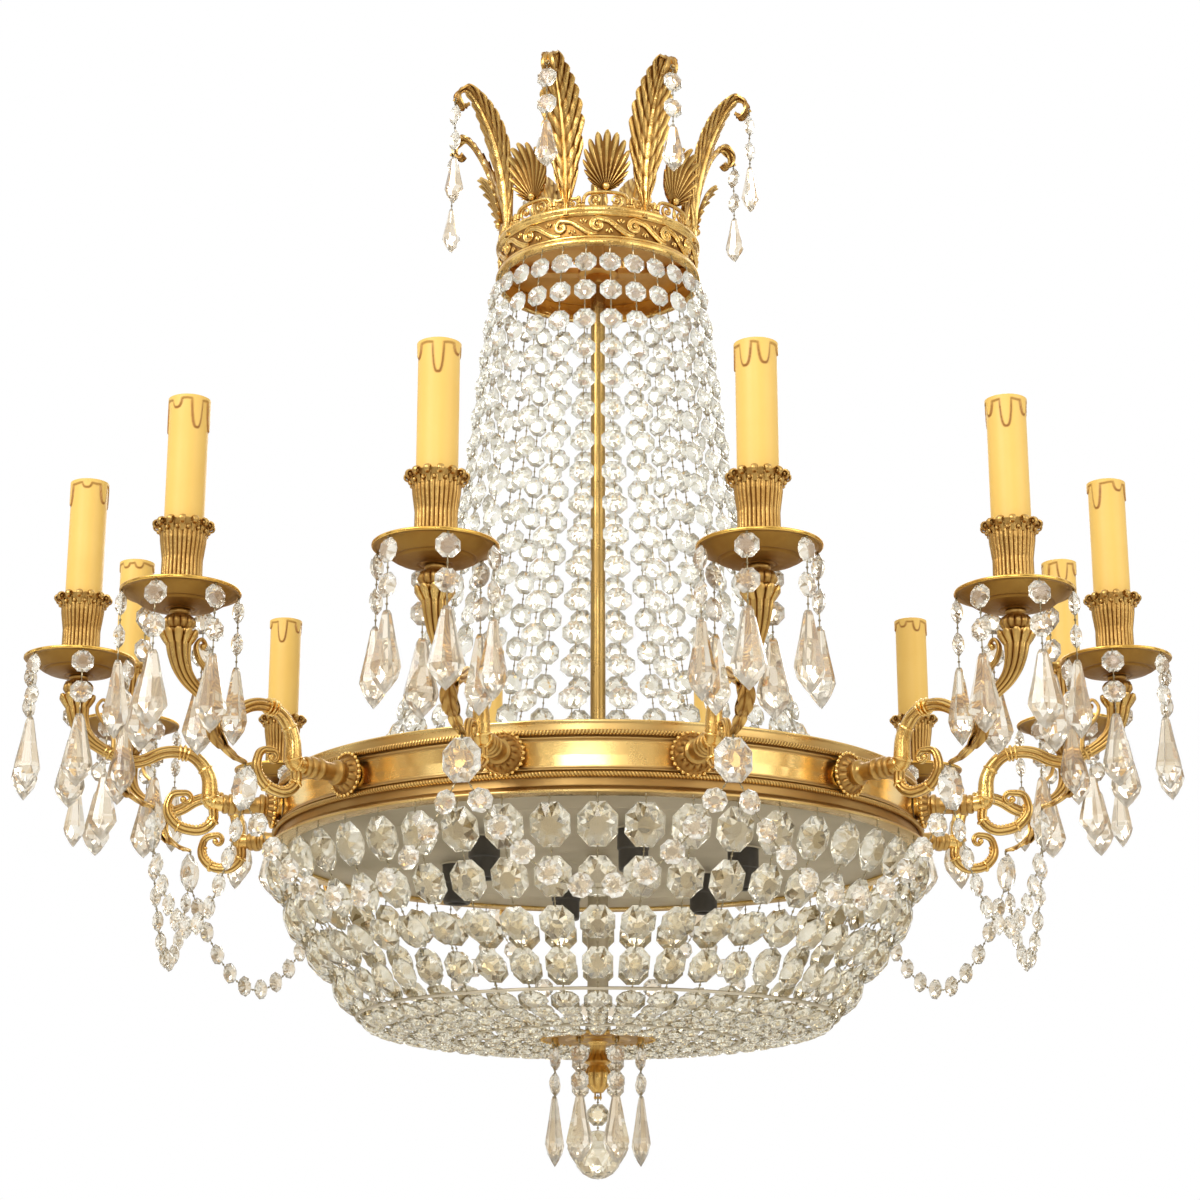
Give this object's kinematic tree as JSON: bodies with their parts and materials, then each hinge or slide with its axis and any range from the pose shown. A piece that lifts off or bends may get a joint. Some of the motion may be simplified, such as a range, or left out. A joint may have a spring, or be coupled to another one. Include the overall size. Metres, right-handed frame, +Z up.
{
  "type": "crystal chandelier",
  "caption": "Tent and basket chandelier: gilt crown, bead tent, banded ring with scroll arms, candle sleeves, drip pans, crystal swags and a beaded basket.",
  "frame": {"origin": "the top end of the threaded stem, on the chandelier's upright axis", "axes": "+Z up along the stem, out of its threaded end; the front of the picture faces -Y"},
  "size_m": [0.869, 0.869, 0.8694],
  "materials": {
    "gilt_brass": "polished and gilt",
    "pin_brass": "bright wire",
    "crystal": "cut and polished",
    "candle_cream": "satin",
    "lampholder_black": "moulded"
  },
  "bodies": {
    "frame": {"arm_bosses": "gilt_brass", "arm_castings": "gilt_brass", "arm_horns": "gilt_brass", "arm_octagons": "crystal", "basket_beads": "crystal", "basket_floor_beads": "crystal", "basket_hoops": "gilt_brass", "bead_pins": "pin_brass", "boss_plate": "gilt_brass", "candle_cups": "gilt_brass", "crown_band": "gilt_brass", "crown_crest": "gilt_brass", "crown_palmettes": "gilt_brass", "crown_plumes": "gilt_brass", "crown_spider": "gilt_brass", "drip_pans": "gilt_brass", "finial": "gilt_brass", "lamp_plate": "gilt_brass", "lampholders": "lampholder_black", "pan_beads": "crystal", "pan_drops": "crystal", "pan_knops": "gilt_brass", "ring_band": "gilt_brass", "ring_ropes": "gilt_brass", "ring_spider": "gilt_brass", "stem": "gilt_brass", "stem_nuts": "gilt_brass", "stem_sleeve": "gilt_brass", "swag_beads": "crystal", "tent_beads": "crystal", "tent_hoop": "gilt_brass"},
    "sleeve_01": {"candle_sleeve_01": "candle_cream"},
    "sleeve_02": {"candle_sleeve_02": "candle_cream"},
    "sleeve_03": {"candle_sleeve_03": "candle_cream"},
    "sleeve_04": {"candle_sleeve_04": "candle_cream"},
    "sleeve_05": {"candle_sleeve_05": "candle_cream"},
    "sleeve_06": {"candle_sleeve_06": "candle_cream"},
    "sleeve_07": {"candle_sleeve_07": "candle_cream"},
    "sleeve_08": {"candle_sleeve_08": "candle_cream"},
    "sleeve_09": {"candle_sleeve_09": "candle_cream"},
    "sleeve_10": {"candle_sleeve_10": "candle_cream"},
    "sleeve_11": {"candle_sleeve_11": "candle_cream"},
    "sleeve_12": {"candle_sleeve_12": "candle_cream"},
    "plume_string_1": {"crown_drop_1": "crystal"},
    "plume_string_2": {"crown_drop_2": "crystal"},
    "plume_string_3": {"crown_drop_3": "crystal"},
    "plume_string_4": {"crown_drop_4": "crystal"},
    "plume_string_5": {"crown_drop_5": "crystal"},
    "plume_string_6": {"crown_drop_6": "crystal"},
    "plume_string_7": {"crown_drop_7": "crystal"},
    "plume_string_8": {"crown_drop_8": "crystal"},
    "bottom_string_1": {"bottom_drop_1": "crystal"},
    "bottom_string_2": {"bottom_drop_2": "crystal"},
    "bottom_string_3": {"bottom_drop_3": "crystal"},
    "bottom_string_4": {"bottom_drop_4": "crystal"},
    "bottom_string_5": {"bottom_drop_5": "crystal"},
    "bottom_string_6": {"bottom_drop_6": "crystal"},
    "bottom_string_7": {"bottom_drop_7": "crystal"},
    "bottom_string_8": {"bottom_drop_8": "crystal"},
    "ball": {"crystal_ball": "crystal"}
  },
  "joints": [
    {"name": "sleeve_lift_01", "type": "slide", "parent": "frame", "child": "sleeve_01", "axis": [0, 0, 1], "range_m": [0, 0.098]},
    {"name": "sleeve_lift_02", "type": "slide", "parent": "frame", "child": "sleeve_02", "axis": [0, 0, 1], "range_m": [0, 0.098]},
    {"name": "sleeve_lift_03", "type": "slide", "parent": "frame", "child": "sleeve_03", "axis": [0, 0, 1], "range_m": [0, 0.098]},
    {"name": "sleeve_lift_04", "type": "slide", "parent": "frame", "child": "sleeve_04", "axis": [0, 0, 1], "range_m": [0, 0.098]},
    {"name": "sleeve_lift_05", "type": "slide", "parent": "frame", "child": "sleeve_05", "axis": [0, 0, 1], "range_m": [0, 0.098]},
    {"name": "sleeve_lift_06", "type": "slide", "parent": "frame", "child": "sleeve_06", "axis": [0, 0, 1], "range_m": [0, 0.098]},
    {"name": "sleeve_lift_07", "type": "slide", "parent": "frame", "child": "sleeve_07", "axis": [0, 0, 1], "range_m": [0, 0.098]},
    {"name": "sleeve_lift_08", "type": "slide", "parent": "frame", "child": "sleeve_08", "axis": [0, 0, 1], "range_m": [0, 0.098]},
    {"name": "sleeve_lift_09", "type": "slide", "parent": "frame", "child": "sleeve_09", "axis": [0, 0, 1], "range_m": [0, 0.098]},
    {"name": "sleeve_lift_10", "type": "slide", "parent": "frame", "child": "sleeve_10", "axis": [0, 0, 1], "range_m": [0, 0.098]},
    {"name": "sleeve_lift_11", "type": "slide", "parent": "frame", "child": "sleeve_11", "axis": [0, 0, 1], "range_m": [0, 0.098]},
    {"name": "sleeve_lift_12", "type": "slide", "parent": "frame", "child": "sleeve_12", "axis": [0, 0, 1], "range_m": [0, 0.098]},
    {"name": "plume_string_swing_1", "type": "hinge", "parent": "frame", "child": "plume_string_1", "pos_m": [0.05925, -0.11628, 0.022], "axis": [0.454, -0.891, 0], "range_deg": [-25, 25]},
    {"name": "plume_string_swing_2", "type": "hinge", "parent": "frame", "child": "plume_string_2", "pos_m": [0.12411, -0.04033, 0.022], "axis": [0.9511, -0.309, 0], "range_deg": [-25, 25]},
    {"name": "plume_string_swing_3", "type": "hinge", "parent": "frame", "child": "plume_string_3", "pos_m": [0.11628, 0.05925, 0.022], "axis": [0.891, 0.454, 0], "range_deg": [-25, 25]},
    {"name": "plume_string_swing_4", "type": "hinge", "parent": "frame", "child": "plume_string_4", "pos_m": [0.04033, 0.12411, 0.022], "axis": [0.309, 0.9511, 0], "range_deg": [-25, 25]},
    {"name": "plume_string_swing_5", "type": "hinge", "parent": "frame", "child": "plume_string_5", "pos_m": [-0.05925, 0.11628, 0.022], "axis": [-0.454, 0.891, 0], "range_deg": [-25, 25]},
    {"name": "plume_string_swing_6", "type": "hinge", "parent": "frame", "child": "plume_string_6", "pos_m": [-0.12411, 0.04033, 0.022], "axis": [-0.9511, 0.309, 0], "range_deg": [-25, 25]},
    {"name": "plume_string_swing_7", "type": "hinge", "parent": "frame", "child": "plume_string_7", "pos_m": [-0.11628, -0.05925, 0.022], "axis": [-0.891, -0.454, 0], "range_deg": [-25, 25]},
    {"name": "plume_string_swing_8", "type": "hinge", "parent": "frame", "child": "plume_string_8", "pos_m": [-0.04033, -0.12411, 0.022], "axis": [-0.309, -0.9511, 0], "range_deg": [-25, 25]},
    {"name": "bottom_string_swing_1", "type": "hinge", "parent": "frame", "child": "bottom_string_1", "pos_m": [0.01339, -0.03234, -0.734], "axis": [-0.9239, -0.3827, 0], "range_deg": [-4, 40]},
    {"name": "bottom_string_swing_2", "type": "hinge", "parent": "frame", "child": "bottom_string_2", "pos_m": [0.03234, -0.01339, -0.734], "axis": [-0.3827, -0.9239, 0], "range_deg": [-4, 40]},
    {"name": "bottom_string_swing_3", "type": "hinge", "parent": "frame", "child": "bottom_string_3", "pos_m": [0.03234, 0.01339, -0.734], "axis": [0.3827, -0.9239, 0], "range_deg": [-4, 40]},
    {"name": "bottom_string_swing_4", "type": "hinge", "parent": "frame", "child": "bottom_string_4", "pos_m": [0.01339, 0.03234, -0.734], "axis": [0.9239, -0.3827, 0], "range_deg": [-4, 40]},
    {"name": "bottom_string_swing_5", "type": "hinge", "parent": "frame", "child": "bottom_string_5", "pos_m": [-0.01339, 0.03234, -0.734], "axis": [0.9239, 0.3827, 0], "range_deg": [-4, 40]},
    {"name": "bottom_string_swing_6", "type": "hinge", "parent": "frame", "child": "bottom_string_6", "pos_m": [-0.03234, 0.01339, -0.734], "axis": [0.3827, 0.9239, 0], "range_deg": [-4, 40]},
    {"name": "bottom_string_swing_7", "type": "hinge", "parent": "frame", "child": "bottom_string_7", "pos_m": [-0.03234, -0.01339, -0.734], "axis": [-0.3827, 0.9239, 0], "range_deg": [-4, 40]},
    {"name": "bottom_string_swing_8", "type": "hinge", "parent": "frame", "child": "bottom_string_8", "pos_m": [-0.01339, -0.03234, -0.734], "axis": [-0.9239, 0.3827, 0], "range_deg": [-4, 40]},
    {"name": "ball_swing", "type": "hinge", "parent": "frame", "child": "ball", "pos_m": [0, 0, -0.774], "axis": [1, 0, 0], "range_deg": [-6, 6]}
  ]
}
